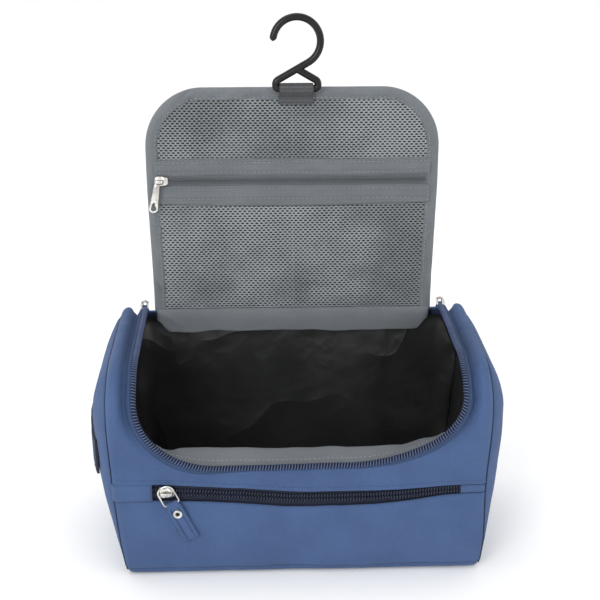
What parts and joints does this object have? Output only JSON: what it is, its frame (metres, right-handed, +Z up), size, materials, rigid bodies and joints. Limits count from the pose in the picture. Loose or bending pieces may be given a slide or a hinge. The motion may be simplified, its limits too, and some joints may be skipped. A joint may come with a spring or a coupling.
{
  "type": "hanging toiletry bag",
  "caption": "Soft box-shaped toiletry bag with a fold-back zipped lid, mesh pocket inside the lid, front zip pocket, side handle and a swivelling hanging hook.",
  "frame": {"origin": "middle of the base's underside, on the surface the bag stands on", "axes": "+X to the right seen from the front, +Y to the back, where the lid is hinged, +Z up"},
  "size_m": [0.2656, 0.1482, 0.3566],
  "materials": {
    "blue_cloth": "woven polyester, slightly sheen",
    "grey_lining": "woven polyester",
    "black_lining": "shiny lining taffeta",
    "grey_mesh": "knitted net",
    "white_foam": "foam sheet",
    "board": "stiffener board",
    "navy_webbing": "woven webbing",
    "grey_webbing": "woven webbing",
    "blue_zip": "nylon coil",
    "navy_zip": "nylon coil",
    "navy_tape": "woven zip tape",
    "grey_zip": "nylon coil",
    "nickel": "polished nickel plate",
    "black_plastic": "gloss moulded"
  },
  "bodies": {
    "bag": {"base_panel": "blue_cloth", "front_panel_lower": "blue_cloth", "front_panel_upper": "blue_cloth", "back_panel": "blue_cloth", "end_panel_left": "blue_cloth", "end_panel_right": "blue_cloth", "base_board": "board", "pocket_bag": "black_lining", "front_foam": "white_foam", "back_foam": "white_foam", "end_foam_left": "white_foam", "end_foam_right": "white_foam", "lining_front": "black_lining", "lining_back": "black_lining", "lining_floor": "black_lining", "end_lining_left": "black_lining", "end_lining_right": "black_lining", "main_zip_tape": "navy_tape", "main_zip_coil": "blue_zip", "front_facing": "grey_lining", "back_facing": "grey_lining", "hinge_strip": "blue_cloth", "side_handle": "navy_webbing", "pocket_zip_tape": "navy_tape", "pocket_zip_coil": "navy_zip", "main_slider_left": "nickel", "main_slider_right": "nickel"},
    "lid_rear": {"lid_skin_rear": "blue_cloth", "lid_foam_rear": "white_foam", "lid_lining_rear": "grey_lining", "lid_binding_rear": "grey_lining", "lid_zip_coil_rear": "blue_zip", "lid_zip_tape_rear": "navy_tape", "lower_mesh": "grey_mesh", "lower_zip_band": "grey_lining", "mesh_zip_tape": "grey_lining", "mesh_zip_coil": "grey_zip", "upper_zip_band": "grey_lining"},
    "lid_front": {"lid_skin_front": "blue_cloth", "lid_foam_front": "white_foam", "lid_lining_front": "grey_lining", "lid_binding_front": "grey_lining", "lid_zip_coil_front": "blue_zip", "lid_zip_tape_front": "navy_tape", "upper_mesh": "grey_mesh", "loop_tail": "grey_webbing"},
    "hang_loop_band": {"hang_loop": "grey_webbing"},
    "hanging_hook": {"hook": "black_plastic"},
    "pocket_slider_body": {"pocket_slider": "nickel"},
    "pocket_ring_body": {"pocket_ring": "nickel"},
    "pocket_tab_body": {"pocket_tab": "blue_cloth", "pocket_rivet": "nickel"},
    "mesh_slider_body": {"mesh_slider": "nickel"},
    "mesh_pull_body": {"mesh_pull": "nickel"},
    "main_pull_left_body": {"main_pull_left": "blue_cloth"},
    "main_pull_right_body": {"main_pull_right": "blue_cloth"}
  },
  "joints": [
    {"name": "lid_hinge", "type": "hinge", "parent": "bag", "child": "lid_rear", "pos_m": [0, 0.06, 0.142], "axis": [1, 0, 0], "range_deg": [-8, 98]},
    {"name": "lid_front_fold", "type": "hinge", "parent": "lid_rear", "child": "lid_front", "pos_m": [0, 0.067, 0.25532], "axis": [1, 0, 0], "range_deg": [-7, 82.5]},
    {"name": "loop_fold", "type": "hinge", "parent": "lid_front", "child": "hang_loop_band", "pos_m": [0, 0.06866, 0.29834], "axis": [1, 0, 0], "range_deg": [-9.5, 110.5]},
    {"name": "hook_swing", "type": "hinge", "parent": "hang_loop_band", "child": "hanging_hook", "pos_m": [0, 0.06621, 0.30357], "axis": [-1, 0, 0], "range_deg": [-120, 50]},
    {"name": "pocket_slide", "type": "slide", "parent": "bag", "child": "pocket_slider_body", "axis": [1, 0, 0], "range_m": [0, 0.183]},
    {"name": "pocket_ring_swing", "type": "hinge", "parent": "pocket_slider_body", "child": "pocket_ring_body", "pos_m": [-0.0875, -0.0665, 0.066], "axis": [0, 1, 0], "range_deg": [-40, 80]},
    {"name": "pocket_tab_lift", "type": "hinge", "parent": "pocket_ring_body", "child": "pocket_tab_body", "pos_m": [-0.08399, -0.0676, 0.05848], "axis": [-0.9063, 0, -0.4226], "range_deg": [0, 100]},
    {"name": "mesh_slide", "type": "slide", "parent": "lid_rear", "child": "mesh_slider_body", "axis": [1, 0, 0], "range_m": [0, 0.183]},
    {"name": "mesh_pull_lift", "type": "hinge", "parent": "mesh_slider_body", "child": "mesh_pull_body", "pos_m": [-0.095, 0.06073, 0.23981], "axis": [-1, 0, 0], "range_deg": [0, 115]},
    {"name": "main_pull_left_lift", "type": "hinge", "parent": "bag", "child": "main_pull_left_body", "pos_m": [-0.1085, 0.0683, 0.1477], "axis": [1, 0, 0], "range_deg": [0, 150]},
    {"name": "main_pull_right_lift", "type": "hinge", "parent": "bag", "child": "main_pull_right_body", "pos_m": [0.1085, 0.0683, 0.1477], "axis": [1, 0, 0], "range_deg": [0, 150]}
  ],
  "couplings": [
    {"joint": "lid_front_fold", "follows": "lid_hinge", "ratio": 0.8367},
    {"joint": "loop_fold", "follows": "lid_hinge", "ratio": 1.1224}
  ]
}
